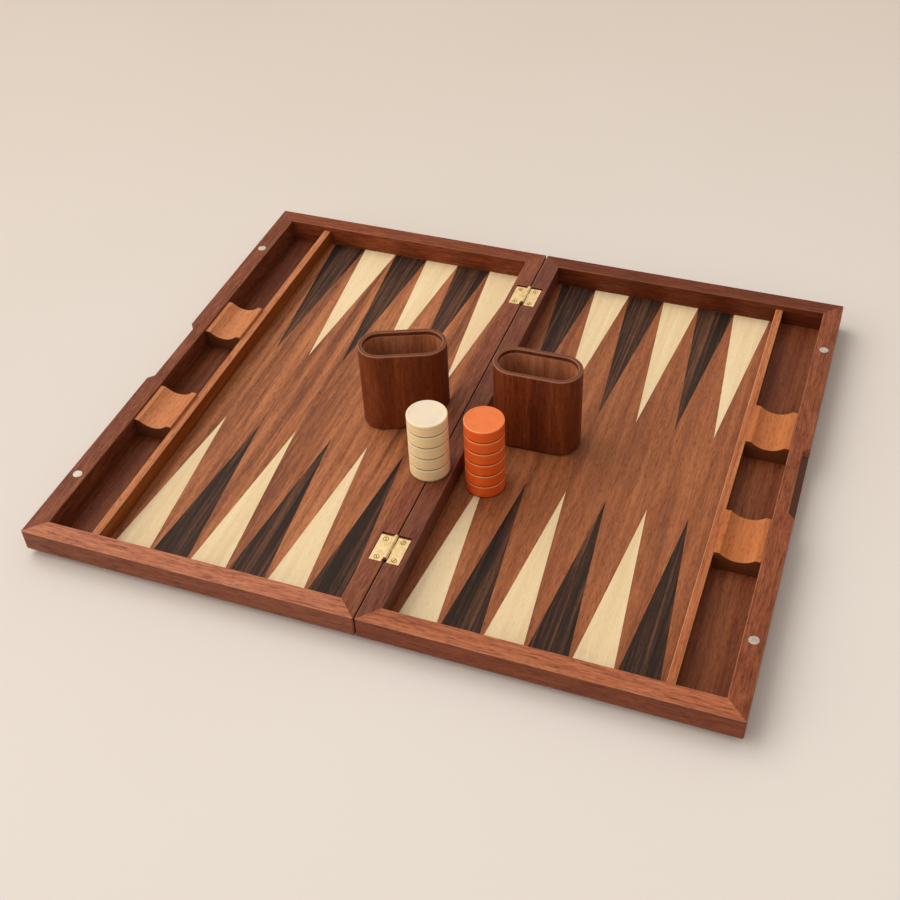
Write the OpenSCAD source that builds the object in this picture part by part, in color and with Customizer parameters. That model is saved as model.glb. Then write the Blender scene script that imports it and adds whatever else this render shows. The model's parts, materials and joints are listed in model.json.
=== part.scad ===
// A backgammon set in a wooden case that opens flat into two halves.
// The open case lies on its underside: X runs from the left half to the right half,
// Y to the back and Z up. The origin is under the middle of the seam.

/* [Case] */
// Width of one half, from its seam face to its outer face
half_w = 281.5; // [240:0.5:330]
// Depth of the case along the seam
case_d = 480; // [440:1:540]
// Height of one half
case_h = 25; // [24:0.5:27]
// Gap between the two bar rails when the case lies open
seam_gap = 1; // [0.8:0.1:1.6]
// Width of the rails seen from above
rail_w = 16; // [14:0.5:18]
// Radius of the rounded bottom edges outside
outer_round = 9; // [4:0.5:10]
// Radius of the bottom edge along the seam
seam_round = 8; // [1:0.5:9]
// Radius of the upright corners
corner_round = 1.6; // [0.5:0.1:3]
// Radius of the softened top edges, outside and inside
edge_round = 1; // [0.4:0.1:1.4]

/* [Panel] */
// Thickness of the core panel
core_t = 3.9; // [3:0.1:4.2]
// Thickness of each veneer
veneer_t = 0.8; // [0.5:0.1:1]
// Width of the rabbet that lets the core under the rails
rabbet_w = 5; // [3:0.5:6]
// Glue line round the inlays
glue_gap = 0.05; // [0.02:0.01:0.1]

/* [Points] */
// Number of points along one side of a half
point_count = 6; // [4:1:8]
// Length of a point
point_len = 175; // [150:1:190]
// Field left between the last point and the wall beside it
point_margin = 3.9; // [2:0.1:8]
// Field left between the bases of two points
point_web = 0.4; // [0.3:0.1:2]

/* [Tray] */
// Clear width of the tray
tray_w = 35.5; // [35:0.5:40]
// Thickness of the divider between field and tray
divider_t = 6.5; // [5:0.5:8]
// Drop of the divider's top below the rim
divider_drop = 4.7; // [3:0.1:7]
// Depth of the divider's housings in the front and back rails
housing_depth = 3; // [2:0.5:5]

/* [Cradles] */
// Length of a cradle along the tray
cradle_len = 47; // [40:1:54]
// Distance between the middles of the two cradles
cradle_pitch = 129; // [110:1:132]
// Place of the middle between the cradles, along Y
cradle_shift = -6.5; // [-8:0.5:0]
// Drop of the cradle's shoulders below the rim
cradle_drop = 2; // [1.5:0.1:4]
// Width of each flat shoulder
shoulder_w = 4.6; // [4:0.1:6]
// Depth of the scoop
scoop_depth = 5.4; // [4:0.1:6]
// Radius of the rounded lip where the scoop begins
scoop_lip = 1.6; // [1:0.1:2]

/* [Finger notch] */
// Length of the notch at the outer face
notch_len = 83; // [60:1:100]
// Depth of the notch into the end rail
notch_depth = 5.4; // [4.5:0.1:7]
// Height of the notch below the rim
notch_h = 10; // [8:0.5:12]
// Rise of the notch's bottom, from its outer edge inwards
notch_rise = 5; // [1:0.5:6]
// Place of the notch's middle, along Y
notch_shift = -3; // [-6:0.5:6]

/* [Magnets] */
// Diameter of a magnet
magnet_d = 8; // [5:0.5:9]
// Thickness of a magnet
magnet_t = 4; // [2:0.5:6]
// Distance of the magnets from the front and back faces of the case
magnet_inset = 70; // [40:1:110]

/* [Hinges] */
// Length of a hinge leaf along the seam
hinge_len = 26.5; // [24:0.5:34]
// Width of one leaf, from the pin's axis
leaf_w = 12; // [10:0.5:13]
// Thickness of a leaf
leaf_t = 1.2; // [1:0.1:1.4]
// Diameter of the barrel
barrel_d = 3.6; // [3.4:0.1:4]
// Length of the barrel
barrel_len = 23.8; // [18:0.2:24]
// Distance of the barrel's middle behind the leaf's middle
barrel_shift = 1.9; // [0:0.1:2]
// Diameter of the pin
pin_d = 1.8; // [1.6:0.1:2]
// Number of knuckles in a barrel
knuckle_count = 3; // [3:2:5]
// Distance of the hinges' middles from the front and back faces of the case
hinge_inset = 71; // [50:1:110]
// Height of the pin's axis above the rim
pin_rise = 0.2; // [0.1:0.05:0.3]
// How far the pin's domed end stands out of the barrel at the back
pin_end = 1.8; // [1:0.1:2.2]
// Spare length of the mortise behind a leaf
mortise_spare = 2.5; // [0.5:0.1:4]
// Spare width of the mortise beside a leaf
mortise_gap = 0.5; // [0.1:0.1:1]

/* [Screws] */
// Diameter of a screw's head
screw_head_d = 4.4; // [3.8:0.1:5]
// Diameter of a screw's shank
screw_d = 2.2; // [1.6:0.1:2.4]
// Length of a screw
screw_len = 9; // [6:0.5:11]
// Distance of the screws from the pin's axis
screw_x = 7.1; // [6.5:0.1:8]
// Distance between the two screws of a leaf
screw_pitch = 19; // [14:0.2:19.2]
// Width of the screw's slot, and its depth
screw_slot = 0.6; // [0.4:0.1:0.8]
// Turn of the screws' slots
slot_turn = 70; // [0:5:180]
// How much the slots of two screws differ in turn
slot_spread = 20; // [0:5:60]

/* [Corner splines] */
// Length of a spline across the mitre joint
spline_len = 13; // [10:0.5:14]
// Wood left between a spline and the faces of the rails
spline_wall = 0.6; // [0.4:0.1:2]
// Thickness of a spline
spline_t = 2.5; // [2:0.1:4]
// Height of a spline's underside
spline_z = 11; // [9:0.5:14]

/* [Cups] */
// Length of a cup seen from above
cup_w = 74.4; // [60:0.2:76]
// Depth of a cup seen from above
cup_d = 36.7; // [32:0.1:37]
// Height of a cup
cup_h = 79.5; // [65:0.5:84]
// Wall of a cup at the rim
cup_wall = 4; // [3.5:0.1:5]
// Thickness of the lining
liner_t = 1.2; // [0.8:0.1:1.6]
// Drop of the lining's edge below the rim
liner_drop = 3.6; // [2:0.1:8]
// Thickness of a cup's bottom
cup_floor_t = 5; // [4:0.5:8]
// Thickness of the felt pad
pad_t = 1.5; // [1:0.1:3]
// Radius of the cup's bottom edge
cup_round = 3; // [1:0.5:4]
// Radius of the cup's rim
rim_round = 1.3; // [0.8:0.1:1.6]
// Place of the left cup, along X
cup_left_x = -52.6; // [-60:0.1:-52]
// Place of the left cup, along Y
cup_left_y = -0.9; // [-4:0.1:10]
// Turn of the left cup
cup_left_turn = 21.8; // [18:0.1:26]
// Place of the right cup, along X
cup_right_x = 62.4; // [56:0.1:66]
// Place of the right cup, along Y
cup_right_y = 5.4; // [0:0.1:12]
// Turn of the right cup
cup_right_turn = 1.2; // [0:0.1:5]

/* [Checkers] */
// Diameter of a checker
checker_d = 32.5; // [28:0.5:33]
// Thickness of a checker
checker_t = 11.75; // [9:0.05:12]
// Radius of a checker's edges
checker_round = 0.8; // [0.5:0.1:2]
// Width of the rim round a checker's face
rim_w = 1.9; // [1.6:0.1:3]
// Depth of the face below its rim
face_depth = 0.2; // [0.1:0.05:0.4]
// Place of the cream stack on the bar, along X
cream_x = -2.4; // [-5:0.1:1]
// Place of the cream stack, along Y
cream_y = -76.3; // [-90:0.1:-70]
// Place of the orange stack on the right field, along X
orange_x = 39.2; // [35:0.05:45]
// Place of the orange stack, along Y
orange_y = -61.3; // [-70:0.1:-50]

/* [Clearances] */
// Clearance round a wooden piece in its housing
wood_fit = 0.1; // [0.05:0.01:0.2]
// Clearance round a metal piece in the wood
metal_fit = 0.1; // [0.05:0.01:0.2]
// Running clearance between a pin and its knuckles, on the radius
pin_fit = 0.05; // [0.03:0.01:0.08]
// Gap between two knuckles
knuckle_gap = 0.2; // [0.15:0.05:0.4]
// Clearance between a barrel and the wood, on the radius
barrel_clear = 0.35; // [0.3:0.05:0.6]

/* [Hidden] */
$fn = 64;
eps = 0.5;
seam_x = seam_gap / 2;
outer_x = seam_x + half_w;
half_d = case_d / 2;
field_x = seam_x + rail_w;
inner_x = outer_x - rail_w;
inner_y = half_d - rail_w;
core_z = veneer_t;
bed_z = core_z + core_t;
floor_z = bed_z + veneer_t;
tray_x = inner_x - tray_w;
divider_x = tray_x - divider_t;
divider_top = case_h - divider_drop;
point_pitch = (divider_x - field_x - 2 * point_margin) / point_count;
point_base = point_pitch - point_web;
cradle_top = case_h - cradle_drop;
scoop_half = tray_w / 2 - shoulder_w;
scoop_r = (scoop_half * scoop_half + scoop_depth * scoop_depth) / (2 * scoop_depth);
magnet_x = outer_x - rail_w / 2;
magnet_y = half_d - magnet_inset;
hinge_y = half_d - hinge_inset;
pin_z = case_h + pin_rise;
barrel_r = barrel_d / 2;
barrel_low = barrel_shift - barrel_len / 2;
barrel_high = barrel_shift + barrel_len / 2;
knuckle_len = barrel_len / knuckle_count;
cup_r = cup_d / 2;
cup_reach = cup_w / 2 - cup_r;
hollow_r = cup_r - cup_wall;
liner_r = hollow_r - wood_fit;
bore_r = liner_r - liner_t;
spline_turn = 45;
spline_w = 2 * (rail_w / 2 - spline_wall) * sqrt(2) - spline_len;

// Draws a right-hand half as it is, or mirrored for the left
module on_side(side) {
    mirror([side < 0 ? 1 : 0, 0, 0])
        children();
}

// A box between two corners
module block(low, high) {
    translate(low)
        cube(high - low);
}

// Flat corner waste for a round of radius r, in the quadrant towards +X and +Y
module corner_waste(r) {
    if (r > 0)
        difference() {
            translate([-eps, -eps])
                square(r + eps);
            translate([r, r])
                circle(r);
        }
}

// Outline of the case across the front and back rails, in Y and Z
module depth_outline() {
    difference() {
        translate([-half_d, 0])
            square([case_d, case_h]);
        for (s = [0, 1])
            mirror([s, 0]) {
                translate([-half_d, 0])
                    corner_waste(outer_round);
                translate([-half_d, case_h])
                    mirror([0, 1])
                        corner_waste(edge_round);
            }
    }
}

// Outline of a half across the bar and end rails, in X and Z
module width_outline() {
    difference() {
        translate([seam_x, 0])
            square([half_w, case_h]);
        translate([outer_x, 0])
            mirror([1, 0])
                corner_waste(outer_round);
        translate([outer_x, case_h])
            mirror([1, 0])
                mirror([0, 1])
                    corner_waste(edge_round);
        translate([seam_x, 0])
            corner_waste(seam_round);
        translate([seam_x, case_h])
            mirror([0, 1])
                corner_waste(edge_round);
    }
}

// Outline of a half seen from above
module plan_outline() {
    difference() {
        translate([seam_x, -half_d])
            square([half_w, case_d]);
        for (s = [0, 1])
            mirror([0, s]) {
                translate([seam_x, -half_d])
                    corner_waste(corner_round);
                translate([outer_x, -half_d])
                    mirror([1, 0])
                        corner_waste(corner_round);
            }
    }
}

// The outside of a half, as the router leaves it
module half_envelope() {
    intersection() {
        translate([0, 0, -eps])
            linear_extrude(case_h + 2 * eps)
                plan_outline();
        rotate([90, 0, 90])
            translate([0, 0, -eps])
                linear_extrude(outer_x + 2 * eps)
                    depth_outline();
        rotate([90, 0, 0])
            translate([0, 0, -half_d - eps])
                linear_extrude(case_d + 2 * eps)
                    width_outline();
    }
}

// Waste of the rabbet that holds the core, under the inside of the rails
module rabbet_waste() {
    block([field_x - rabbet_w, -inner_y - rabbet_w, -eps],
          [inner_x + rabbet_w, inner_y + rabbet_w, bed_z]);
}

// Plan of a front rail with its two mitres; the back rail is its mirror image
module front_rail_plan() {
    polygon([[seam_x, -half_d], [outer_x, -half_d], [inner_x, -inner_y], [field_x, -inner_y]]);
}

// Plans of the two short rails with their mitres
module end_rail_plan() {
    polygon([[outer_x, -half_d], [outer_x, half_d], [inner_x, inner_y], [inner_x, -inner_y]]);
}
module bar_rail_plan() {
    polygon([[seam_x, -half_d], [field_x, -inner_y], [field_x, inner_y], [seam_x, half_d]]);
}

// Waste that rounds the inner top edge of a rail; the edge runs along the local X axis
// and the wood lies towards -Y
module inner_edge_waste(length) {
    rotate([90, 0, 90])
        translate([0, 0, -length / 2])
            linear_extrude(length)
                mirror([1, 0])
                    mirror([0, 1])
                        corner_waste(edge_round);
}

// The four mitred corners of a half, each with a spline of the given extra size
module splines(grow) {
    for (s = [-1, 1]) {
        translate([outer_x - rail_w / 2, s * (half_d - rail_w / 2), 0])
            rotate([0, 0, s * spline_turn])
                spline(grow);
        translate([seam_x + rail_w / 2, s * (half_d - rail_w / 2), 0])
            rotate([0, 0, -s * spline_turn])
                spline(grow);
    }
}
module spline(grow) {
    block([-spline_len / 2 - grow, -spline_w / 2 - grow, spline_z - grow],
          [spline_len / 2 + grow, spline_w / 2 + grow, spline_z + spline_t + grow]);
}

// The divider with an extra size round it, for itself and for its housings
module divider_block(grow) {
    block([divider_x - grow, -inner_y - housing_depth - grow, bed_z - eps],
          [tray_x + grow, inner_y + housing_depth + grow, divider_top + grow]);
}

// A rail cut from its plan, which is the first child, without the rabbet, the spline
// slots and the divider housings. The second child is the waste of its inner top edge.
module rail(side) {
    on_side(side)
        difference() {
            intersection() {
                half_envelope();
                translate([0, 0, -eps])
                    linear_extrude(case_h + 2 * eps)
                        children(0);
            }
            children(1);
            rabbet_waste();
            splines(wood_fit);
            divider_block(wood_fit);
        }
}

module front_edge_waste() {
    translate([outer_x / 2, -inner_y, case_h])
        inner_edge_waste(2 * outer_x);
}
module front_rail(side) {
    color("#a5613c")
        rail(side) {
            front_rail_plan();
            front_edge_waste();
        }
}
module back_rail(side) {
    color("#a5613c")
        rail(side) {
            mirror([0, 1])
                front_rail_plan();
            mirror([0, 1, 0])
                front_edge_waste();
        }
}

// Waste of the finger notch, with ends at 45 degrees and a sloping bottom
module notch_waste() {
    bottom = case_h - notch_h;
    translate([outer_x, notch_shift, 0])
        intersection() {
            translate([0, 0, bottom - eps])
                linear_extrude(notch_h + 2 * eps)
                    polygon([
                        [eps, -notch_len / 2 - eps], [eps, notch_len / 2 + eps],
                        [-notch_depth, notch_len / 2 - notch_depth],
                        [-notch_depth, -notch_len / 2 + notch_depth]
                    ]);
            rotate([90, 0, 0])
                translate([0, 0, -notch_len])
                    linear_extrude(2 * notch_len)
                        polygon([
                            [2 * eps, bottom - eps], [2 * eps, case_h + eps],
                            [-notch_depth - eps, case_h + eps],
                            [-notch_depth - eps, bottom + notch_rise],
                            [-notch_depth, bottom + notch_rise]
                        ]);
        }
}

module end_rail(side) {
    color("#7c4632")
        difference() {
            rail(side) {
                end_rail_plan();
                translate([inner_x, 0, case_h])
                    rotate([0, 0, 90])
                        inner_edge_waste(case_d);
            }
            on_side(side) {
                notch_waste();
                for (s = [-1, 1])
                    translate([magnet_x, s * magnet_y, case_h - magnet_t - metal_fit])
                        cylinder(h = magnet_t + metal_fit + eps, d = magnet_d + 2 * metal_fit);
            }
        }
}

// Waste for both hinges in a bar rail: mortises, barrel room and pilot holes
module hinge_waste() {
    for (s = [-1, 1])
        translate([0, s * hinge_y, 0]) {
            block([0, -hinge_len / 2 - metal_fit, case_h - leaf_t],
                  [leaf_w + mortise_gap, hinge_len / 2 + mortise_spare, case_h + eps]);
            translate([0, barrel_high + pin_end + barrel_clear, pin_z])
                rotate([90, 0, 0])
                    cylinder(h = barrel_high + pin_end + 2 * barrel_clear + hinge_len / 2,
                             r = barrel_r + barrel_clear);
            for (t = [-1, 1])
                translate([screw_x, t * screw_pitch / 2, case_h - screw_len - metal_fit])
                    cylinder(h = screw_len, d = screw_d + 2 * wood_fit);
        }
}

module bar_rail(side) {
    color("#7c4632")
        difference() {
            rail(side) {
                bar_rail_plan();
                translate([field_x, 0, case_h])
                    rotate([0, 0, -90])
                        inner_edge_waste(case_d);
            }
            on_side(side)
                hinge_waste();
        }
}

module corner_splines(side) {
    color("#b98d5e")
        on_side(side)
            splines(0);
}

module panel_core(side) {
    color("#c9a477")
        on_side(side)
            block([field_x - rabbet_w + wood_fit, -inner_y - rabbet_w + wood_fit, core_z],
                  [inner_x + rabbet_w - wood_fit, inner_y + rabbet_w - wood_fit, bed_z]);
}

module under_veneer(side) {
    color("#8a5236")
        on_side(side)
            block([field_x - rabbet_w + wood_fit, -inner_y - rabbet_w + wood_fit, 0],
                  [inner_x + rabbet_w - wood_fit, inner_y + rabbet_w - wood_fit, core_z]);
}

// Outline of point number i from the seam, at the front. It is drawn in by gap all round
// and runs past the wall by over.
module point_plan(i, gap, over) {
    middle = field_x + point_margin + (i + 0.5) * point_pitch;
    slope = point_base / 2 / point_len;
    tip = -inner_y + point_len - gap / slope;
    base = -inner_y - over;
    polygon([[middle, tip], [middle - slope * (tip - base), base],
             [middle + slope * (tip - base), base]]);
}

// All the points of one colour in a half; shade is 0 for light, 1 for dark
module points(side, shade, gap, over) {
    for (i = [0 : point_count - 1]) {
        front_shade = (i + (side < 0 ? 1 : 0)) % 2;
        if (front_shade == shade)
            point_plan(i, gap, over);
        if (front_shade != shade)
            mirror([0, 1])
                point_plan(i, gap, over);
    }
}

module field_veneer(side) {
    color("#9a5b38")
        on_side(side)
            translate([0, 0, bed_z])
                linear_extrude(veneer_t)
                    difference() {
                        translate([field_x, -inner_y])
                            square([divider_x - field_x, 2 * inner_y]);
                        points(side, 0, 0, eps);
                        points(side, 1, 0, eps);
                    }
}
module light_points(side) {
    color("#ecd9a8")
        on_side(side)
            translate([0, 0, bed_z])
                linear_extrude(veneer_t)
                    points(side, 0, glue_gap, 0);
}
module dark_points(side) {
    color("#3a2620")
        on_side(side)
            translate([0, 0, bed_z])
                linear_extrude(veneer_t)
                    points(side, 1, glue_gap, 0);
}

module tray_veneer(side) {
    color("#6a3826")
        on_side(side)
            block([tray_x, -inner_y, bed_z], [inner_x, inner_y, floor_z]);
}

module divider(side) {
    color("#b06a42")
        on_side(side)
            block([divider_x, -inner_y - housing_depth, bed_z],
                  [tray_x, inner_y + housing_depth, divider_top]);
}

// Section of a cradle across the tray, with a scoop and rounded lips; its top is at zero
module cradle_section() {
    height = cradle_top - floor_z;
    half = tray_w / 2 - wood_fit;
    scoop_z = scoop_r - scoop_depth;
    lip_x = sqrt(pow(scoop_r + scoop_lip, 2) - pow(scoop_z + scoop_lip, 2));
    lip_share = scoop_lip / (scoop_r + scoop_lip);
    touch_x = lip_x * (1 - lip_share);
    touch_z = -scoop_lip + (scoop_z + scoop_lip) * lip_share;
    difference() {
        translate([-half, -height])
            square([2 * half, height]);
        translate([0, scoop_z])
            circle(scoop_r);
        for (s = [0, 1])
            mirror([s, 0])
                difference() {
                    polygon([[0, eps], [lip_x, eps], [lip_x, -scoop_lip], [touch_x, touch_z]]);
                    translate([lip_x, -scoop_lip])
                        circle(scoop_lip);
                }
    }
}
module cradle(side, place) {
    color("#c07a4a")
        on_side(side)
            translate([(tray_x + inner_x) / 2,
                       cradle_shift + place * cradle_pitch / 2 + cradle_len / 2, cradle_top])
                rotate([90, 0, 0])
                    linear_extrude(cradle_len)
                        cradle_section();
}

module magnets(side) {
    color("#c9cccf")
        on_side(side)
            for (s = [-1, 1])
                translate([magnet_x, s * magnet_y, case_h - magnet_t])
                    cylinder(h = magnet_t, d = magnet_d);
}

// A hinge leaf towards +X, round the pin's axis; first is 0 or 1, the first knuckle it owns
module leaf_body(first) {
    room = barrel_r + barrel_clear;
    difference() {
        union() {
            block([room, -hinge_len / 2, -pin_rise - leaf_t],
                  [leaf_w, hinge_len / 2, -pin_rise]);
            for (i = [first : 2 : knuckle_count - 1]) {
                low = barrel_low + i * knuckle_len + (i > 0 ? knuckle_gap / 2 : 0);
                high = barrel_low + (i + 1) * knuckle_len
                    - (i < knuckle_count - 1 ? knuckle_gap / 2 : 0);
                block([0, low, -pin_rise - leaf_t],
                      [room + eps, min(high, hinge_len / 2), -pin_rise]);
                translate([0, high, 0])
                    rotate([90, 0, 0])
                        cylinder(h = high - low, r = barrel_r);
            }
        }
        translate([0, barrel_high + eps, 0])
            rotate([90, 0, 0])
                cylinder(h = barrel_len + 2 * eps, r = pin_d / 2 + pin_fit);
        for (t = [-1, 1])
            translate([screw_x, t * screw_pitch / 2, -pin_rise]) {
                translate([0, 0, -leaf_t - eps])
                    cylinder(h = leaf_t + 2 * eps, d = screw_d + 2 * metal_fit);
                screw_cone(metal_fit);
            }
    }
}

// The countersunk head, with its flat top at zero
module screw_cone(grow) {
    depth = (screw_head_d - screw_d) / 2;
    translate([0, 0, -depth])
        cylinder(h = depth, d1 = screw_d + 2 * grow, d2 = screw_head_d + 2 * grow);
}

module hinge_leaf(side, place) {
    color("#c9a24a")
        on_side(side)
            translate([0, place * hinge_y, pin_z])
                leaf_body(side < 0 ? 0 : 1);
}

module hinge_pin(place) {
    color("#d6b25c")
        translate([0, place * hinge_y + barrel_high, pin_z]) {
            rotate([90, 0, 0])
                cylinder(h = barrel_len, r = pin_d / 2);
            rotate([-90, 0, 0])
                pin_dome();
        }
}

// The spread head at the back end of a pin
module pin_dome() {
    head_r = barrel_r - knuckle_gap;
    rotate_extrude()
        intersection() {
            square([head_r, pin_end]);
            translate([0, pin_end - head_r])
                circle(head_r);
        }
}

module hinge_screws(side) {
    color("#bf9640")
        on_side(side)
            for (s = [-1, 1], t = [-1, 1])
                translate([screw_x, s * hinge_y + t * screw_pitch / 2, case_h])
                    difference() {
                        union() {
                            screw_cone(0);
                            translate([0, 0, -screw_len])
                                cylinder(h = screw_len - screw_slot, d = screw_d);
                        }
                        rotate([0, 0, slot_turn + (2 * s + t) * slot_spread / 6])
                            block([-screw_head_d, -screw_slot / 2, -screw_slot],
                                  [screw_head_d, screw_slot / 2, eps]);
                    }
}

// Half section of an upright solid of revolution with rounded edges, from the axis out
module round_section(r, low, high, low_round, high_round) {
    difference() {
        translate([0, low])
            square([r, high - low]);
        translate([r, low])
            mirror([1, 0])
                corner_waste(low_round);
        translate([r, high])
            mirror([1, 0])
                mirror([0, 1])
                    corner_waste(high_round);
    }
}

// An upright oval solid: a half section swept round both ends and along the straight sides
module oval() {
    for (s = [-1, 1])
        translate([s * cup_reach, 0, 0])
            rotate([0, 0, -s * 90])
                rotate_extrude(angle = 180)
                    children();
    for (s = [0, 1])
        mirror([0, s, 0])
            rotate([90, 0, 90])
                translate([0, 0, -cup_reach])
                    linear_extrude(2 * cup_reach)
                        children();
}

module cup_shell() {
    color("#6d3420")
        difference() {
            oval()
                round_section(cup_r, 0, cup_h, cup_round, rim_round);
            oval()
                round_section(hollow_r, cup_floor_t, cup_h + eps, 0, 0);
            oval()
                translate([hollow_r, cup_h])
                    mirror([0, 1])
                        corner_waste(rim_round);
        }
}
module cup_liner() {
    color("#a8663f")
        difference() {
            oval()
                round_section(liner_r, cup_floor_t, cup_h - liner_drop, 0, 0);
            oval()
                round_section(bore_r, cup_floor_t - eps, cup_h, 0, 0);
        }
}
module cup_pad() {
    color("#54271f")
        oval()
            round_section(bore_r - wood_fit, cup_floor_t, cup_floor_t + pad_t, 0, 0);
}
module at_left_cup() {
    translate([cup_left_x, cup_left_y, floor_z])
        rotate([0, 0, cup_left_turn])
            children();
}
module at_right_cup() {
    translate([cup_right_x, cup_right_y, floor_z])
        rotate([0, 0, cup_right_turn])
            children();
}

// One checker, with both faces turned slightly hollow inside a rim
module checker() {
    rotate_extrude()
        difference() {
            round_section(checker_d / 2, 0, checker_t, checker_round, checker_round);
            for (z = [-eps, checker_t - face_depth])
                translate([0, z])
                    square([checker_d / 2 - rim_w, face_depth + eps]);
        }
}
module cream_checker(i) {
    color("#efe3c4")
        translate([cream_x, cream_y, case_h + (i - 1) * checker_t])
            checker();
}
module orange_checker(i) {
    color("#e2692c")
        translate([orange_x, orange_y, floor_z + (i - 1) * checker_t])
            checker();
}

front_rail(-1);  // left_front_rail
back_rail(-1);  // left_back_rail
end_rail(-1);  // left_end_rail
bar_rail(-1);  // left_bar_rail
corner_splines(-1);  // left_corner_splines
panel_core(-1);  // left_panel_core
under_veneer(-1);  // left_under_veneer
field_veneer(-1);  // left_field_veneer
light_points(-1);  // left_light_points
dark_points(-1);  // left_dark_points
tray_veneer(-1);  // left_tray_veneer
divider(-1);  // left_divider
cradle(-1, -1);  // left_cradle_front
cradle(-1, 1);  // left_cradle_back
magnets(-1);  // left_magnets
hinge_leaf(-1, -1);  // left_hinge_leaf_front
hinge_leaf(-1, 1);  // left_hinge_leaf_back
hinge_screws(-1);  // left_hinge_screws
hinge_pin(-1);  // hinge_pin_front
hinge_pin(1);  // hinge_pin_back
front_rail(1);  // right_front_rail
back_rail(1);  // right_back_rail
end_rail(1);  // right_end_rail
bar_rail(1);  // right_bar_rail
corner_splines(1);  // right_corner_splines
panel_core(1);  // right_panel_core
under_veneer(1);  // right_under_veneer
field_veneer(1);  // right_field_veneer
light_points(1);  // right_light_points
dark_points(1);  // right_dark_points
tray_veneer(1);  // right_tray_veneer
divider(1);  // right_divider
cradle(1, -1);  // right_cradle_front
cradle(1, 1);  // right_cradle_back
magnets(1);  // right_magnets
hinge_leaf(1, -1);  // right_hinge_leaf_front
hinge_leaf(1, 1);  // right_hinge_leaf_back
hinge_screws(1);  // right_hinge_screws
at_left_cup() cup_shell();  // cup_left_shell
at_left_cup() cup_liner();  // cup_left_liner
at_left_cup() cup_pad();  // cup_left_pad
at_right_cup() cup_shell();  // cup_right_shell
at_right_cup() cup_liner();  // cup_right_liner
at_right_cup() cup_pad();  // cup_right_pad
cream_checker(1);  // cream_checker_1
cream_checker(2);  // cream_checker_2
cream_checker(3);  // cream_checker_3
cream_checker(4);  // cream_checker_4
cream_checker(5);  // cream_checker_5
orange_checker(1);  // orange_checker_1
orange_checker(2);  // orange_checker_2
orange_checker(3);  // orange_checker_3
orange_checker(4);  // orange_checker_4
orange_checker(5);  // orange_checker_5
orange_checker(6);  // orange_checker_6
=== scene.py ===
import json
import math
import bmesh
import bpy
from mathutils import Matrix, Vector

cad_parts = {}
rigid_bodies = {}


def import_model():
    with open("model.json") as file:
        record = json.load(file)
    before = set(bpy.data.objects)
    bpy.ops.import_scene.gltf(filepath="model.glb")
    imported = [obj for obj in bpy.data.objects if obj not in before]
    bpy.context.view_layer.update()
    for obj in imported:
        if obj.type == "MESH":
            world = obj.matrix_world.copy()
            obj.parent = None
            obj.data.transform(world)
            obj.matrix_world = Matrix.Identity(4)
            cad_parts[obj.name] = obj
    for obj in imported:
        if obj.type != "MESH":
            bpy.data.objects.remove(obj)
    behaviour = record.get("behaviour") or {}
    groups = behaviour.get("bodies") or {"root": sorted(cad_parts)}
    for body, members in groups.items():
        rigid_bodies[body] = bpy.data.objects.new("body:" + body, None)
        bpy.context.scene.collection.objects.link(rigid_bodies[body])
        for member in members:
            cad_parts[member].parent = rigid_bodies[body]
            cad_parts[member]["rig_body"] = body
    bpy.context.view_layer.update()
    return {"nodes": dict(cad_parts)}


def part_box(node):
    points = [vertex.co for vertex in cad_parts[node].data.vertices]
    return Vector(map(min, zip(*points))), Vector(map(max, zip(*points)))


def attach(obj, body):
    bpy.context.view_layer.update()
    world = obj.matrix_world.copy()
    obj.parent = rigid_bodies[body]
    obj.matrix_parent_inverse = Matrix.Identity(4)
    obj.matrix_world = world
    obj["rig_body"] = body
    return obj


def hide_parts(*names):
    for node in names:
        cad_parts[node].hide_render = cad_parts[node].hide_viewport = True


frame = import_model()

# Camera
# A tripod shot from the front right corner, looking down at the open case. Its place was
# solved from the case's corners, magnets and point tips, so the case fills the frame as
# it does in the photograph. Angles are in degrees, and the rest in metres.
EYE = Vector((0.29392, -0.76573, 0.73563))
HEADING, LOOKING_DOWN, LEAN = 21.985, 42.68, -2.928
FOCAL_LENGTH_MM = 51.348
heading, down, lean = (math.radians(a) for a in (HEADING, LOOKING_DOWN, LEAN))
ahead = Vector((-math.sin(heading) * math.cos(down), math.cos(heading) * math.cos(down), -math.sin(down)))
level = Vector((math.cos(heading), math.sin(heading), 0))
over = level.cross(ahead)
right = level * math.cos(lean) + over * math.sin(lean)
upward = over * math.cos(lean) - level * math.sin(lean)
lens = bpy.data.cameras.new("camera")
lens.lens = FOCAL_LENGTH_MM
lens.sensor_width = 36
lens.clip_start = 0.01
lens.clip_end = 100
camera = bpy.data.objects.new("camera", lens)
camera.matrix_world = Matrix((
    (right.x, upward.x, -ahead.x, EYE.x),
    (right.y, upward.y, -ahead.y, EYE.y),
    (right.z, upward.z, -ahead.z, EYE.z),
    (0, 0, 0, 1)))
bpy.context.scene.collection.objects.link(camera)
bpy.context.scene.camera = camera
bpy.context.scene.view_settings.view_transform = "Standard"


# Table
# The set lies on a warm white sheet of backdrop paper. Its colour is painted darker toward the back, as
# painted shade. The paper is matt and a little cloudy. Its tooth is drawn 1.1 mm wide, coarser than it is, so
# that it shows.
def linear(code):
    """An sRGB hex colour as the linear numbers that a shader takes"""
    parts = [int(code[i:i + 2], 16) / 255 for i in (1, 3, 5)]
    return [c / 12.92 if c <= 0.04045 else ((c + 0.055) / 1.055) ** 2.4 for c in parts] + [1.0]


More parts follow.
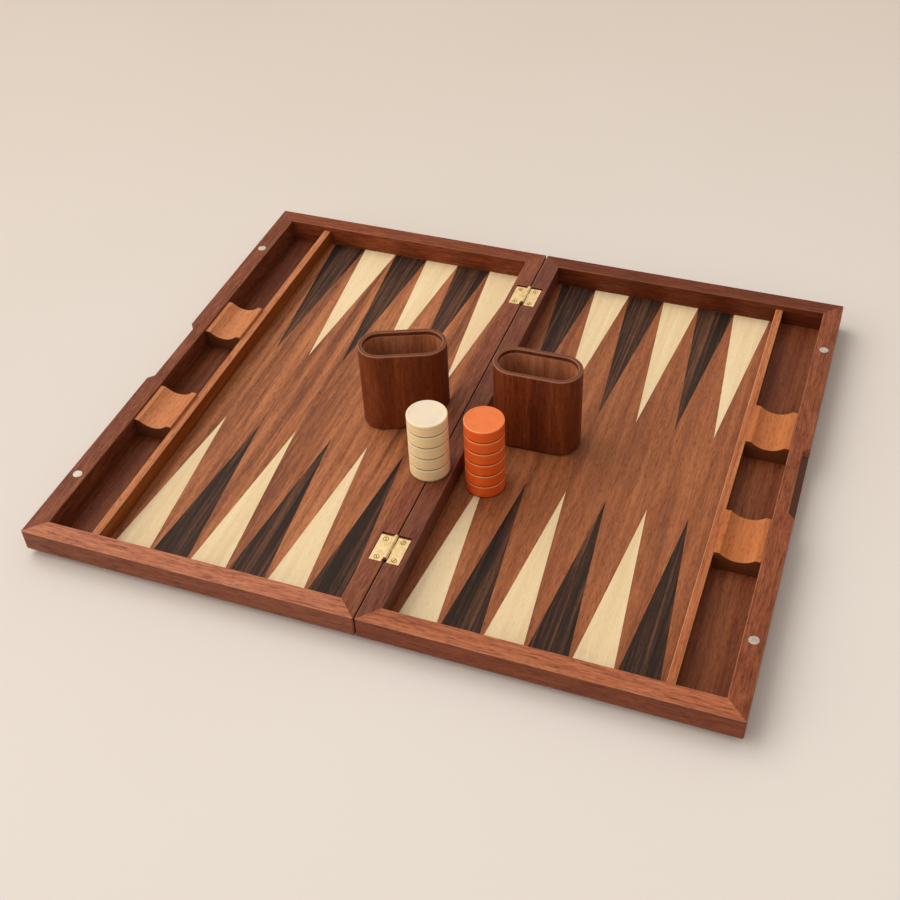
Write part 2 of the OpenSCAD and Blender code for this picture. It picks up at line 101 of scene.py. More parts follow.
def add(tree, kind, values=None, stops=None, **settings):
    """Adds a node, with its options, its ramp's stops and its inputs: numbers, or outputs to link"""
    node = tree.nodes.new("ShaderNode" + kind)
    for name, value in settings.items():
        setattr(node, name, value)
    if stops:
        ramp = node.color_ramp.elements
        while len(ramp) < len(stops):
            ramp.new(0.5)
        for element, (place, code) in zip(ramp, stops):
            element.position = place
            element.color = linear(code)
    for key, value in (values or {}).items():
        if isinstance(value, bpy.types.NodeSocket):
            tree.links.new(value, node.inputs[key])
        else:
            node.inputs[key].default_value = value
    return node


def empty_material(name):
    """A material with nothing in it but its output"""
    material = bpy.data.materials.new(name)
    material.use_nodes = True
    material.node_tree.nodes.clear()
    return material, material.node_tree


PAPER_CLOUD_MM, PAPER_TOOTH_MM = 333, 1.11
TOWARD_THE_BACK = (-0.6, 1.0, 0.0)
SHADE_STARTS, SHADE_ENDS = -0.6, 1.8
TABLE_REACH = 9
paper, tree = empty_material("backdrop_paper")
place = add(tree, "TexCoord").outputs["Object"]
clouds = add(tree, "TexNoise", {"Vector": place, "Scale": 1000 / PAPER_CLOUD_MM, "Detail": 2.0})
tooth = add(tree, "TexNoise", {"Vector": place, "Scale": 1000 / PAPER_TOOTH_MM, "Detail": 3.0})
# Painted shade: the paper's colour is darkened toward the back.
depth = add(tree, "VectorMath", {0: place, 1: TOWARD_THE_BACK}, operation="DOT_PRODUCT")
shade = add(tree, "MapRange", {
    "Value": depth.outputs["Value"], "From Min": SHADE_STARTS, "From Max": SHADE_ENDS,
    "To Min": 0.95, "To Max": 0.0})
shade = add(tree, "Math", {0: clouds.outputs["Fac"], 1: 0.12, 2: shade.outputs[0]}, operation="MULTIPLY_ADD")
tint = add(tree, "ValToRGB", {"Fac": shade.outputs[0]}, [(0.1, "#c6bbaf"), (0.9, "#e5e1dd")])
grit = add(tree, "Bump", {"Strength": 0.25, "Distance": 0.0002, "Height": tooth.outputs["Fac"]})
surface = add(tree, "BsdfPrincipled", {
    "Base Color": tint.outputs["Color"], "Roughness": 0.85, "Specular IOR Level": 0.25,
    "Normal": grit.outputs["Normal"]})
add(tree, "OutputMaterial", {"Surface": surface.outputs["BSDF"]})

form = bmesh.new()
bmesh.ops.create_grid(form, x_segments=2, y_segments=2, size=TABLE_REACH)
sheet = bpy.data.meshes.new("table")
form.to_mesh(sheet)
form.free()
sheet.materials.append(paper)
table = bpy.data.objects.new("table", sheet)
bpy.context.scene.collection.objects.link(table)

# Light
# One large window stands on the left, a little behind the set. The pale room fills the
# shadows, most from the window's side, with a low glow from the front left. Polished
# faces mirror the room's far wall, which is brighter.
WINDOW_PLACE = Vector((-2.2, 0.6, 3.1))
WINDOW_SIZE, WINDOW_POWER = 2.9, 66
BRIGHT_SIDE = (-0.8, 0.2, 0.5)
GLOW_FROM, GLOW_FOCUS, GLOW_STRENGTH = (-0.72, -0.58, 0.37), 8.0, 2.0
lamp = bpy.data.lights.new("window", "AREA")
lamp.shape = "SQUARE"
lamp.size = WINDOW_SIZE
lamp.energy = WINDOW_POWER
lamp.color = linear("#fffaf4")[:3]
window = bpy.data.objects.new("window", lamp)
window.location = WINDOW_PLACE
window.rotation_euler = (-WINDOW_PLACE).to_track_quat("-Z", "Y").to_euler()
bpy.context.scene.collection.objects.link(window)

room = bpy.data.worlds.new("room")
room.use_nodes = True
tree = room.node_tree
tree.nodes.clear()
rays = add(tree, "LightPath")
way = add(tree, "TexCoord").outputs["Generated"]
lit_side = add(tree, "VectorMath", {0: way, 1: BRIGHT_SIDE}, operation="DOT_PRODUCT")
strength = add(tree, "MapRange", {
    "Value": lit_side.outputs["Value"], "From Min": -1.0, "From Max": 1.0, "To Min": 0.32, "To Max": 0.79})
glow = add(tree, "VectorMath", {0: way, 1: GLOW_FROM}, operation="DOT_PRODUCT")
glow = add(tree, "Math", {0: glow.outputs["Value"], 1: 0.0}, operation="MAXIMUM")
glow = add(tree, "Math", {0: glow.outputs[0], 1: GLOW_FOCUS}, operation="POWER")
strength = add(tree, "Math", {0: glow.outputs[0], 1: GLOW_STRENGTH, 2: strength.outputs[0]},
               operation="MULTIPLY_ADD")
fill = add(tree, "Background", {"Color": linear("#fcf1e6"), "Strength": strength.outputs[0]})
far_wall = add(tree, "SeparateXYZ", {0: way})
gleam = add(tree, "MapRange", {
    "Value": far_wall.outputs["Y"], "From Min": 0.3, "From Max": 0.9, "To Min": 0.55, "To Max": 1.3})
mirrored = add(tree, "Background", {"Color": linear("#f0dcc8"), "Strength": gleam.outputs[0]})
shown = add(tree, "Background", {"Color": linear("#ddd2c6"), "Strength": 0.9})
seen = add(tree, "MixShader", {0: rays.outputs["Is Glossy Ray"], 1: fill.outputs[0], 2: mirrored.outputs[0]})
seen = add(tree, "MixShader", {0: rays.outputs["Is Camera Ray"], 1: seen.outputs[0], 2: shown.outputs[0]})
add(tree, "OutputWorld", {"Surface": seen.outputs[0]})
bpy.context.scene.world = room


# Panels
# Each half is closed below by a birch plywood core, which slides into a rabbet in the
# rails. Under it lies a plain sapele veneer, and over it the playing field of ribbon
# sapele, whose grain runs along the seam like all the inlays.
FIBRE_MM, FIBRE_STRETCH = 1.0, 14
PORE_MM, PORE_STRETCH = 1.1, 6
SWAY_MM = 55.6


def drawn_out(tree, spot, along, stretch, shift):
    """A place on the board, squeezed along the grain, so that a pattern is drawn out that way"""
    squeeze = [1.0, 1.0, 1.0]
    squeeze[along] = 1 / stretch
    return add(tree, "Mapping", {"Vector": spot, "Location": shift, "Scale": squeeze}).outputs[0]


def rounded_edge(tree, slope, off_the_wall, onto_the_top):
    """How surely a face belongs to a rounded edge: 1 there, and 0 on the wall below it and on
    the top. The two pairs give the slopes between which it rises and falls"""
    rise = add(tree, "MapRange", {"Value": slope, "From Min": off_the_wall[0], "From Max": off_the_wall[1]})
    fall = add(tree, "MapRange", {
        "Value": slope, "From Min": onto_the_top[0], "From Max": onto_the_top[1],
        "To Min": rise.outputs[0], "To Max": 0.0})
    return fall.outputs[0]


def wood(name, along, dark, ground, light, figure=22, ribbon=6, pore="#2a150c", pores=0.4, end="#3a1a0e",
         worn=0.0, worn_above=-1.0, notch_shade=None, upright_shade=None, stretch=28, sheen=0.48, shift=(0, 0, 0),
         balance=(0.3, 0.4, 0.3), spread=0.1, wander=3):
    """Planed and oiled wood with its grain along one axis (0, 1 or 2), which gives the eye a
    satin surface with streaks in three widths and short dark pores. Figure and ribbon are the
    widths of its broad and narrow bands in millimetres, stretch times as long, which sway by
    wander, and dark, ground and light are their colours. The fibres are drawn 1 mm wide and
    the pores 1.1 mm, which is several times their real width, so that they show. Balance is
    the share of the broad bands, the narrow bands and the fibres in the tone, and a smaller
    spread makes it harder. Pores says how dark they are. End is the colour of the end grain,
    which drinks more oil. Worn says how much paler the rounded edges above a height are
    painted, partly wear from handling and partly a painted highlight. notch_shade is the
    colour of painted shade on the slanting cuts below that height, and upright_shade tints
    the standing faces darker as painted shade."""
    material, tree = empty_material(name)
    coordinates = add(tree, "TexCoord")
    spot = coordinates.outputs["Object"]

    board = drawn_out(tree, spot, along, stretch, shift)
    sway = add(tree, "TexNoise", {"Vector": board, "Scale": 1000 / SWAY_MM, "Detail": 1.0})
    sway = add(tree, "VectorMath", {0: sway.outputs["Color"], 1: (0.5, 0.5, 0.5)}, operation="SUBTRACT")
    sway = add(tree, "VectorMath", {0: sway.outputs[0], "Scale": wander / 250}, operation="SCALE")
    grain = add(tree, "VectorMath", {0: board, 1: sway.outputs[0]}).outputs[0]
    broad = add(tree, "TexNoise", {"Vector": grain, "Scale": 1000 / figure, "Detail": 2.0, "Roughness": 0.5})
    narrow = add(tree, "TexNoise", {"Vector": grain, "Scale": 1000 / ribbon, "Detail": 2.0, "Roughness": 0.5})
    fibre = add(tree, "TexNoise", {
        "Vector": drawn_out(tree, spot, along, FIBRE_STRETCH, shift), "Scale": 1000 / FIBRE_MM,
        "Detail": 3.0, "Roughness": 0.85})
    vessel = add(tree, "TexNoise", {
        "Vector": drawn_out(tree, spot, along, PORE_STRETCH, shift), "Scale": 1000 / PORE_MM, "Detail": 1.0})

    tone = add(tree, "Math", {0: broad.outputs["Fac"], 1: balance[0]}, operation="MULTIPLY")
    for streaks, share in ((narrow, balance[1]), (fibre, balance[2])):
        tone = add(tree, "Math", {0: streaks.outputs["Fac"], 1: share, 2: tone.outputs[0]},
                   operation="MULTIPLY_ADD")
    colour = add(tree, "ValToRGB", {"Fac": tone.outputs[0]},
                 [(0.5 - spread, dark), (0.5, ground), (0.5 + spread, light)])
    hole = add(tree, "MapRange", {
        "Value": vessel.outputs["Fac"], "From Min": 0.58, "From Max": 0.68, "To Min": 0.0, "To Max": pores})
    skin = add(tree, "Mix", {0: hole.outputs[0], 6: colour.outputs["Color"], 7: linear(pore)},
               data_type="RGBA")

    normal = add(tree, "SeparateXYZ", {0: coordinates.outputs["Normal"]})
    slope = normal.outputs["Z"]
    facing = add(tree, "Math", {0: normal.outputs[along]}, operation="ABSOLUTE")
    cut_across = add(tree, "MapRange", {
        "Value": facing.outputs[0], "From Min": 0.75, "From Max": 0.95, "To Max": 0.85})
    skin = add(tree, "Mix", {0: cut_across.outputs[0], 6: skin.outputs[2], 7: linear(end)}, data_type="RGBA")
    # Painted shade: faces that stand near vertical are multiplied by a darker tint.
    if upright_shade:
        standing = add(tree, "MapRange", {
            "Value": slope, "From Min": 0.2, "From Max": 0.8, "To Min": 1.0, "To Max": 0.0})
        skin = add(tree, "Mix", {0: standing.outputs[0], 6: skin.outputs[2], 7: linear(upright_shade)},
                   data_type="RGBA", blend_type="MULTIPLY")
    # Rounded edges above a height are painted paler: partly wear, partly a painted highlight.
    if worn:
        turning = rounded_edge(tree, slope, (0.2, 0.55), (0.93, 0.985))
        height = add(tree, "SeparateXYZ", {0: spot}).outputs["Z"]
        high = add(tree, "MapRange", {
            "Value": height, "From Min": worn_above - 0.0002, "From Max": worn_above, "To Max": worn})
        wear_and_highlight = add(tree, "Math", {0: turning, 1: high.outputs[0]}, operation="MULTIPLY")
        skin = add(tree, "Mix", {0: wear_and_highlight.outputs[0], 6: skin.outputs[2], 7: linear("#f0c8a0")},
                   data_type="RGBA")
        # Painted shade: slanting cuts below that height are painted darker.
        if notch_shade:
            low = add(tree, "MapRange", {
                "Value": high.outputs[0], "From Max": worn, "To Min": 0.85, "To Max": 0.0})
            notch_shade_mask = add(tree, "Math", {0: turning, 1: low.outputs[0]}, operation="MULTIPLY")
            skin = add(tree, "Mix", {0: notch_shade_mask.outputs[0], 6: skin.outputs[2], 7: linear(notch_shade)},
                       data_type="RGBA")

    gloss = add(tree, "MapRange", {
        "Value": fibre.outputs["Fac"], "From Min": 0.3, "From Max": 0.7,
        "To Min": sheen - 0.05, "To Max": sheen + 0.08})
    relief = add(tree, "Math", {0: fibre.outputs["Fac"], 1: hole.outputs[0]}, operation="SUBTRACT")
    bump = add(tree, "Bump", {"Strength": 0.3, "Distance": 0.0001, "Height": relief.outputs[0]})
    surface = add(tree, "BsdfPrincipled", {
        "Base Color": skin.outputs[2], "Roughness": gloss.outputs[0], "IOR": 1.45,
        "Specular IOR Level": 0.22, "Normal": bump.outputs["Normal"]})
    add(tree, "OutputMaterial", {"Surface": surface.outputs["BSDF"]})
    return material


def finish_node(node, material):
    """Gives a part of the model, which stays as it is, its finish"""
    for holder in frame["nodes"][node].material_slots:
        holder.link = "OBJECT"
        holder.material = material


birch = wood("birch_plywood_bare", 1, "#b8925f", "#c9a477", "#d8b88d", figure=40, ribbon=12, pores=0.15,
             sheen=0.6)
under = wood("sapele_veneer_underside", 1, "#6f3c24", "#8a5236", "#9c6344", figure=30, ribbon=8)
field_left = wood("ribbon_sapele_veneer_left", 1, "#74422a", "#9d603d", "#bd7a4f", figure=8, ribbon=2.4,
                  pores=0.3, balance=(0.42, 0.2, 0.38), wander=2)
field_right = wood("ribbon_sapele_veneer_right", 1, "#74422a", "#985b39", "#b8754b", figure=8, ribbon=2.4,
                   pores=0.3, balance=(0.36, 0.16, 0.48), spread=0.15, shift=(0.4, 0.3, 0.7), wander=2)
tray_right = wood("dark_sapele_veneer_right", 1, "#642c17", "#784025", "#8a5030", figure=12, ribbon=4,
                  shift=(0.3, 0.2, 0.1), pores=0.35, balance=(0.2, 0.3, 0.5))
# The left tray's veneer is painted darker than the right's, as painted shade from the left end rail.
tray_left_painted_shade = wood("dark_sapele_veneer_left_shaded", 1, "#502210", "#652f16", "#7a4323", figure=12, ribbon=4,
                 shift=(0.6, 0.1, 0.4), pores=0.35, balance=(0.2, 0.3, 0.5))
for side, field, tray_floor in (("left", field_left, tray_left_painted_shade), ("right", field_right, tray_right)):
    finish_node(side + "_panel_core", birch)
    finish_node(side + "_under_veneer", under)
    finish_node(side + "_field_veneer", field)
    finish_node(side + "_tray_veneer", tray_floor)

# Points
# The points are cut from sheets of veneer and let into the field, flush with it. The pale
# ones are hard maple, nearly plain, and the dark ones macassar ebony, which shows brown
# streaks in near-black wood.
maple = wood("maple_veneer", 1, "#e4cca1", "#ebd5ab", "#f1deb8", figure=24, ribbon=5, pore="#dab884",
             pores=0.35, sheen=0.45)
ebony = wood("macassar_ebony_veneer", 1, "#17100c", "#36251d", "#724a33", figure=9, ribbon=1.9,
             pore="#120c0a", pores=0.3, stretch=60, sheen=0.56, balance=(0.33, 0.42, 0.25), spread=0.145,
             wander=0.6)
for side in ("left", "right"):
    finish_node(side + "_light_points", maple)
    finish_node(side + "_dark_points", ebony)

# Rails
# The long rails of the case are solid sapele, an orange brown wood with short dark pores,
# planed, softened at the edges and oiled. The short rails come from darker, more purple
# boards. Plywood splines lock the mitres.
TOP_EDGES = 0.0236
# The last column is a darker tint for the front rails' standing faces, as painted shade.
boards = (
    ("left_front_rail", 0, ("#904f37", "#b46e4f", "#c88362"), (0.1, 0.3, 0.2), 0.4, "#b9aca8"),
    ("right_front_rail", 0, ("#894a30", "#ad6544", "#c27a55"), (0.7, 0.1, 0.4), 0.4, "#b3a09a"),
    ("left_back_rail", 0, ("#642e16", "#7e3c20", "#984f2d"), (0.5, 0.6, 0.1), 0.35, None),
    ("right_back_rail", 0, ("#50210f", "#652c15", "#7e3e20"), (0.2, 0.8, 0.5), 0.35, None),
    ("left_end_rail", 1, ("#5c2a18", "#7a4027", "#965638"), (0.4, 0.2, 0.9), 0.38, None),
    ("right_end_rail", 1, ("#63301c", "#84462b", "#9c5a3b"), (0.9, 0.5, 0.3), 0.38, None),
    ("left_bar_rail", 1, ("#66321e", "#814730", "#945a40"), (0.6, 0.7, 0.7), 0.25, None),
    ("right_bar_rail", 1, ("#562a1d", "#703d2c", "#84503b"), (0.8, 0.4, 0.6), 0.25, None))
# Each board's upper rounded edges are painted paler, partly wear and partly a painted highlight, and slanting
# cuts below the top edges, as at the notches, are painted darker as painted shade.
for rail, along, colours, shift, pores, upright_shade in boards:
    board = wood("sapele_board_" + rail, along, *colours, figure=18, ribbon=2.6, stretch=11, shift=shift,
                 pores=pores, balance=(0.15, 0.3, 0.55), worn=0.1, worn_above=TOP_EDGES,
                 notch_shade="#4a2413", upright_shade=upright_shade)
    finish_node(rail, board)
for side in ("left", "right"):
    finish_node(side + "_corner_splines", birch)

# Dividers and cradles
# A thin strip of lighter sapele fences the tray off from the field. In the tray stand two
# light mahogany blocks, scooped across the top. Their arrises are eased with sandpaper,
# so each edge carries a fine bright line.
DIVIDER_EASING, CRADLE_EASING = 0.0006, 0.0005


def eased(node, width, material, shortest=0.0):
    """A copy of a node with its sharp edges, or those over a length, eased by width. It stands
    for the node"""
    source = frame["nodes"][node]
    form = bmesh.new()
    form.from_mesh(source.data)
    bmesh.ops.remove_doubles(form, verts=form.verts, dist=1e-6)
    bmesh.ops.dissolve_limit(form, angle_limit=math.radians(0.5), verts=form.verts, edges=form.edges)
    sharp = [e for e in form.edges if e.is_manifold and e.calc_face_angle() > math.radians(30)
             and e.calc_length() > shortest]
    bmesh.ops.bevel(form, geom=sharp, offset=width, segments=3, profile=0.5, affect="EDGES",
                    clamp_overlap=True)
    mesh = bpy.data.meshes.new(node + "_eased")
    form.to_mesh(mesh)
    form.free()
    mesh.shade_smooth()
    mesh.set_sharp_from_angle(angle=math.radians(28))
    mesh.materials.clear()
    mesh.materials.append(material)
    piece = bpy.data.objects.new(node + "_eased", mesh)
    bpy.context.scene.collection.objects.link(piece)
    flat_faces = piece.modifiers.new("flat_faces", "WEIGHTED_NORMAL")
    flat_faces.weight = 100
    flat_faces.keep_sharp = True
    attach(piece, source["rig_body"])
    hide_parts(node)


# The strip's upper rounded edges are painted pale, partly wear and partly a painted highlight, and its
# standing sides are tinted darker as painted shade.
strip = wood("light_sapele_strip", 1, "#9c5733", "#b66d42", "#c88256", figure=14, ribbon=3,
             shift=(0.2, 0.5, 0.8), pores=0.3, worn=0.4, upright_shade="#ccb679")
block_right = wood("light_mahogany_block_right", 1, "#ab5f33", "#b96f3d", "#c77c49", figure=12, ribbon=3,
                   shift=(0.1, 0.1, 0.6), pores=0.3, end="#4a200f", balance=(0.15, 0.3, 0.55),
                   spread=0.14, sheen=0.56)
# The left block is painted paler than the right one, as painted light from the window on its side.
block_left_painted_light = wood("light_mahogany_block_left_painted_light", 1, "#b26e43", "#c27c4f", "#d08a5d", figure=12, ribbon=3,
                  shift=(0.5, 0.4, 0.2), pores=0.3, end="#4a200f", balance=(0.15, 0.3, 0.55),
                  spread=0.14, sheen=0.56)
for side, block in (("left", block_left_painted_light), ("right", block_right)):
    eased(side + "_divider", DIVIDER_EASING, strip)
    eased(side + "_cradle_front", CRADLE_EASING, block)
    eased(side + "_cradle_back", CRADLE_EASING, block)

# Magnets
# Four nickel plated discs are glued into the end rails and hold the case shut. The
# plating is bright but satin, with marks 1.4 mm wide from the disc that it meets.
MAGNET_EASING, MARK_MM = 0.0003, 1.43
nickel, tree = empty_material("nickel_plated_magnet")
place = add(tree, "TexCoord").outputs["Object"]
marks = add(tree, "TexNoise", {"Vector": place, "Scale": 1000 / MARK_MM, "Detail": 4.0})
worn = add(tree, "ValToRGB", {"Fac": marks.outputs["Fac"]}, [(0.35, "#aeaba6"), (0.6, "#cfccc7")])
gloss = add(tree, "MapRange", {"Value": marks.outputs["Fac"], "To Min": 0.45, "To Max": 0.65})
surface = add(tree, "BsdfPrincipled", {
    "Base Color": worn.outputs["Color"], "Metallic": 1.0, "Roughness": gloss.outputs[0]})
add(tree, "OutputMaterial", {"Surface": surface.outputs["BSDF"]})
for side in ("left", "right"):
    eased(side + "_magnets", MAGNET_EASING, nickel)

# Hinges
# Two brass butt hinges join the halves. Their leaves are cut from rolled sheet, let into
# the rails flush with the top, and curled round a brass pin with a domed back end. The
# brass is polished and lightly brushed along the seam, and held by slotted screws.
BRUSHING_MM, BRUSHING_STRETCH, TARNISH_MM = 0.385, 25, 3.85
LEAF_EASING, LONG_EDGES = 0.00015, 0.0025


def brass(name, bright, dull, rough):
    """Satin brass, brushed along the seam, duller in patches where it has tarnished"""
    material, tree = empty_material(name)
    place = add(tree, "TexCoord").outputs["Object"]
    rolled = drawn_out(tree, place, 1, BRUSHING_STRETCH, (0, 0, 0))
    lines = add(tree, "TexNoise", {"Vector": rolled, "Scale": 1000 / BRUSHING_MM, "Detail": 2.0})
    cloud = add(tree, "TexNoise", {"Vector": place, "Scale": 1000 / TARNISH_MM, "Detail": 3.0})
    colour = add(tree, "ValToRGB", {"Fac": cloud.outputs["Fac"]}, [(0.35, dull), (0.6, bright)])
    gloss = add(tree, "MapRange", {
        "Value": lines.outputs["Fac"], "To Min": rough - 0.08, "To Max": rough + 0.1})
    bump = add(tree, "Bump", {"Strength": 0.2, "Distance": 0.00004, "Height": lines.outputs["Fac"]})
    surface = add(tree, "BsdfPrincipled", {
        "Base Color": colour.outputs["Color"], "Metallic": 1.0, "Roughness": gloss.outputs[0],
        "Normal": bump.outputs["Normal"]})
    add(tree, "OutputMaterial", {"Surface": surface.outputs["BSDF"]})
    return material


leaf_brass = brass("rolled_brass_leaf", "#eddcb2", "#dfc996", 0.56)
pin_brass = brass("drawn_brass_pin", "#ecd190", "#d8b66c", 0.42)
screw_brass = brass("turned_brass_screw", "#f0d8a0", "#d8ba7e", 0.5)

# The screws' slots and a ring round each head are painted dark, as painted shade in these hollows. A head is
# found by its distance from the nearest screw's axis, and a slot by its depth below the case's top.
SCREW_FROM_SEAM, HINGE_FROM_MIDDLE, SCREW_FROM_HINGE = 0.0071, 0.169, 0.0095
CLEAN_RADIUS, HEAD_RADIUS = 0.0016, 0.0019
CASE_TOP = 0.025
tree = screw_brass.node_tree
metal = [n for n in tree.nodes if n.type == "BSDF_PRINCIPLED"][0]
place = add(tree, "SeparateXYZ", {0: add(tree, "TexCoord").outputs["Object"]})
sideways = add(tree, "Math", {0: place.outputs["X"]}, operation="ABSOLUTE")
sideways = add(tree, "Math", {0: sideways.outputs[0], 1: SCREW_FROM_SEAM}, operation="SUBTRACT")
endways = add(tree, "Math", {0: place.outputs["Y"]}, operation="ABSOLUTE")
endways = add(tree, "Math", {0: endways.outputs[0], 1: HINGE_FROM_MIDDLE}, operation="SUBTRACT")
endways = add(tree, "Math", {0: endways.outputs[0]}, operation="ABSOLUTE")
endways = add(tree, "Math", {0: endways.outputs[0], 1: SCREW_FROM_HINGE}, operation="SUBTRACT")
spoke = add(tree, "CombineXYZ", {"X": sideways.outputs[0], "Y": endways.outputs[0]})
radius = add(tree, "VectorMath", {0: spoke.outputs[0]}, operation="LENGTH").outputs["Value"]
rim = add(tree, "MapRange", {"Value": radius, "From Min": CLEAN_RADIUS, "From Max": HEAD_RADIUS})
slot = add(tree, "MapRange", {
    "Value": place.outputs["Z"], "From Min": CASE_TOP - 0.0003, "From Max": CASE_TOP - 0.0001,
    "To Min": 1.0, "To Max": 0.0})
# Painted shade: the slots and the ring round each head are mixed toward a dark brown.
hollow_shade = add(tree, "Math", {0: rim.outputs[0], 1: slot.outputs[0]}, operation="MAXIMUM")
clean = metal.inputs["Base Color"].links[0].from_socket
shaded_screw_colour = add(tree, "Mix", {0: hollow_shade.outputs[0], 6: clean, 7: linear("#6b5230")}, data_type="RGBA")
tree.links.new(shaded_screw_colour.outputs[2], metal.inputs["Base Color"])
for side in ("left", "right"):
    for end in ("front", "back"):
        eased(side + "_hinge_leaf_" + end, LEAF_EASING, leaf_brass, shortest=LONG_EDGES)
    finish_node(side + "_hinge_screws", screw_brass)
finish_node("hinge_pin_front", pin_brass)
finish_node("hinge_pin_back", pin_brass)

# Cups
# The two dice cups are milled from solid walnut red with oil, with upright grain, a
# softened rim and a thin sleeve of lighter walnut inside. Dull, fuzzy wool felt lies on
# the bottom. Its fibres are drawn 0.7 mm wide, coarser than they are, so that they show.
FUZZ_MM = 0.667
# The rounded rims are painted paler, partly wear and partly a painted highlight.
shell_left = wood("walnut_cup_left", 2, "#562511", "#6e3318", "#864524", figure=16, ribbon=4, stretch=14,
                  end="#6d3d2b", shift=(0.1, 0.2, 0.3), pores=0.35, balance=(0.35, 0.17, 0.48),
                  spread=0.12, wander=14, worn=0.16)
shell_right = wood("walnut_cup_right", 2, "#552310", "#703318", "#884624", figure=16, ribbon=4, stretch=14,
                   end="#6d3d2b", shift=(0.4, 0.7, 0.1), pores=0.35, balance=(0.35, 0.17, 0.48),
                   spread=0.12, wander=14, worn=0.16)
sleeve = wood("walnut_sleeve", 2, "#945a3b", "#b3734e", "#c68b66", figure=14, ribbon=4, stretch=14,
              end="#8a5a42", shift=(0.6, 0.1, 0.1), pores=0.25, spread=0.14)
felt, tree = empty_material("wool_felt_dark_red")
place = add(tree, "TexCoord").outputs["Object"]
fuzz = add(tree, "TexNoise", {"Vector": place, "Scale": 1000 / FUZZ_MM, "Detail": 4.0})
dyed = add(tree, "ValToRGB", {"Fac": fuzz.outputs["Fac"]}, [(0.3, "#43201a"), (0.7, "#66322a")])
bump = add(tree, "Bump", {"Strength": 0.6, "Distance": 0.0003, "Height": fuzz.outputs["Fac"]})
surface = add(tree, "BsdfPrincipled", {
    "Base Color": dyed.outputs["Color"], "Roughness": 0.95, "Sheen Weight": 0.3,
    "Normal": bump.outputs["Normal"]})
add(tree, "OutputMaterial", {"Surface": surface.outputs["BSDF"]})
for side, shell in (("left", shell_left), ("right", shell_right)):
    finish_node("cup_" + side + "_shell", shell)
    finish_node("cup_" + side + "_liner", sleeve)
    finish_node("cup_" + side + "_pad", felt)

# Checkers
# Discs 32.5 mm across, turned from cast resin rod, ivory and orange, faced slightly hollow
# inside a rim and tumbled to a satin finish, with faint turning rings left on the faces.
# The sides are painted a deeper colour as warm light reflected from the wood, the upper edges pale as a
# painted highlight, and the joints of the stacks dark as painted shade.
RESIN_CLOUD_MM, TURNING_LINE_MM, TURNING_RING_MM = 8.33, 1.11, 0.714


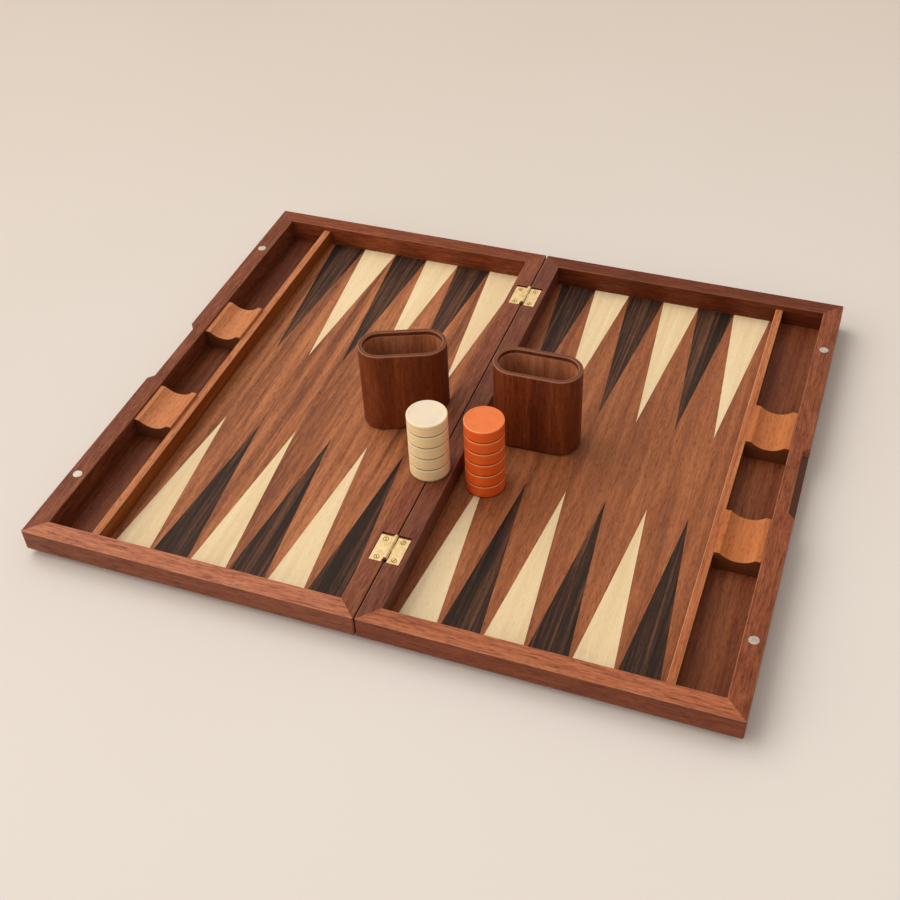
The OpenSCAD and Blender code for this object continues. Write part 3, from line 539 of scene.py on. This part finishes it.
def resin(name, face, cloudy, side, edge, under, lowest):
    """Satin cast resin with faint clouds in it. Its side is painted a deeper colour than the
    faces, as painted warm light reflected from the wood round it. The upper edges are
    painted pale as a painted highlight, and the lower edges and the foot of each side dark as
    painted shade in the joints. Turning rings lie on the faces and turning lines round the
    side, drawn wider than they are so that they show. Lowest is the lowest checker of the stack"""
    low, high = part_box(lowest)
    thickness = high[2] - low[2]
    material, tree = empty_material(name)
    coordinates = add(tree, "TexCoord")
    place = coordinates.outputs["Object"]
    slope = add(tree, "SeparateXYZ", {0: coordinates.outputs["Normal"]}).outputs["Z"]
    height = add(tree, "SeparateXYZ", {0: place}).outputs["Z"]

    cloud = add(tree, "TexNoise", {"Vector": place, "Scale": 1000 / RESIN_CLOUD_MM, "Detail": 3.0})
    colour = add(tree, "ValToRGB", {"Fac": cloud.outputs["Fac"]}, [(0.35, cloudy), (0.65, face)])
    flat = add(tree, "Math", {0: slope}, operation="ABSOLUTE")
    # Painted light: the side is mixed toward a deeper colour than the faces, standing for warm light
    # reflected from the wood.
    skin = add(tree, "Mix", {0: flat.outputs[0], 6: linear(side), 7: colour.outputs["Color"]},
               data_type="RGBA")
    # Painted highlight: the upper rounded edges are mixed toward the pale edge colour.
    turning = rounded_edge(tree, slope, (0.15, 0.5), (0.9, 0.98))
    skin = add(tree, "Mix", {0: turning, 6: skin.outputs[2], 7: linear(edge)}, data_type="RGBA")
    # Painted shade: the lower rounded edges are mixed toward the dark colour, as shade in the joints.
    painted_shade_below = add(tree, "MapRange", {"Value": slope, "From Min": -0.1, "From Max": -0.5})
    skin = add(tree, "Mix", {0: painted_shade_below.outputs[0], 6: skin.outputs[2], 7: linear(under)}, data_type="RGBA")

    scratch = add(tree, "TexNoise", {"W": height, "Scale": 1000 / TURNING_LINE_MM, "Detail": 2.0},
                  noise_dimensions="1D")
    faint = add(tree, "MapRange", {
        "Value": scratch.outputs["Fac"], "From Min": 0.55, "From Max": 0.75, "To Max": 0.24})
    standing = add(tree, "MapRange", {
        "Value": flat.outputs[0], "From Min": 0.1, "From Max": 0.4,
        "To Min": faint.outputs[0], "To Max": 0.0})
    skin = add(tree, "Mix", {0: standing.outputs[0], 6: skin.outputs[2], 7: linear(under)}, data_type="RGBA")

    part_way_up = add(tree, "Math", {0: height, 1: low[2]}, operation="SUBTRACT")
    part_way_up = add(tree, "Math", {0: part_way_up.outputs[0], 1: thickness}, operation="DIVIDE")
    part_way_up = add(tree, "Math", {0: part_way_up.outputs[0]}, operation="FRACT")
    # Painted shade at the foot of each checker's side, and a painted highlight just under its top.
    for start, stop, share, code in ((0.06, 0.17, 0.9, under), (0.95, 0.86, 0.65, edge)):
        painted_joint_band = add(tree, "MapRange", {
            "Value": part_way_up.outputs[0], "From Min": start, "From Max": stop,
            "To Min": share, "To Max": 0.0})
        painted_joint_band = add(tree, "MapRange", {
            "Value": flat.outputs[0], "From Min": 0.2, "From Max": 0.8,
            "To Min": painted_joint_band.outputs[0], "To Max": 0.0})
        skin = add(tree, "Mix", {0: painted_joint_band.outputs[0], 6: skin.outputs[2], 7: linear(code)}, data_type="RGBA")

    spoke = add(tree, "VectorMath", {0: place, 1: (low + high) / 2}, operation="SUBTRACT")
    spoke = add(tree, "VectorMath", {0: spoke.outputs[0], 1: (1.0, 1.0, 0.0)}, operation="MULTIPLY")
    radius = add(tree, "VectorMath", {0: spoke.outputs[0]}, operation="LENGTH").outputs["Value"]
    ring = add(tree, "TexNoise", {"W": radius, "Scale": 1000 / TURNING_RING_MM, "Detail": 2.0},
               noise_dimensions="1D")
    gloss = add(tree, "MapRange", {"Value": cloud.outputs["Fac"], "To Min": 0.34, "To Max": 0.5})
    bump = add(tree, "Bump", {"Strength": 0.15, "Distance": 0.00005, "Height": ring.outputs["Fac"]})
    surface = add(tree, "BsdfPrincipled", {
        "Base Color": skin.outputs[2], "Roughness": gloss.outputs[0], "IOR": 1.5,
        "Subsurface Weight": 0.45, "Subsurface Radius": (1.0, 0.6, 0.3), "Subsurface Scale": 0.0015,
        "Normal": bump.outputs["Normal"]})
    add(tree, "OutputMaterial", {"Surface": surface.outputs["BSDF"]})
    return material


# Of the colours given, the side colour is painted warm light, the edge colour a painted highlight, and the
# last a painted shade in the joints that also colours the turning lines.
ivory = resin("ivory_resin", "#f0e3cc", "#eadcc3", "#ffe1af", "#fff1d6", "#7f5129", "cream_checker_1")
orange = resin("orange_resin", "#ef7f3e", "#e87634", "#f2651f", "#ffa670", "#641c06", "orange_checker_1")
for i in range(1, 6):
    finish_node("cream_checker_" + str(i), ivory)
for i in range(1, 7):
    finish_node("orange_checker_" + str(i), orange)
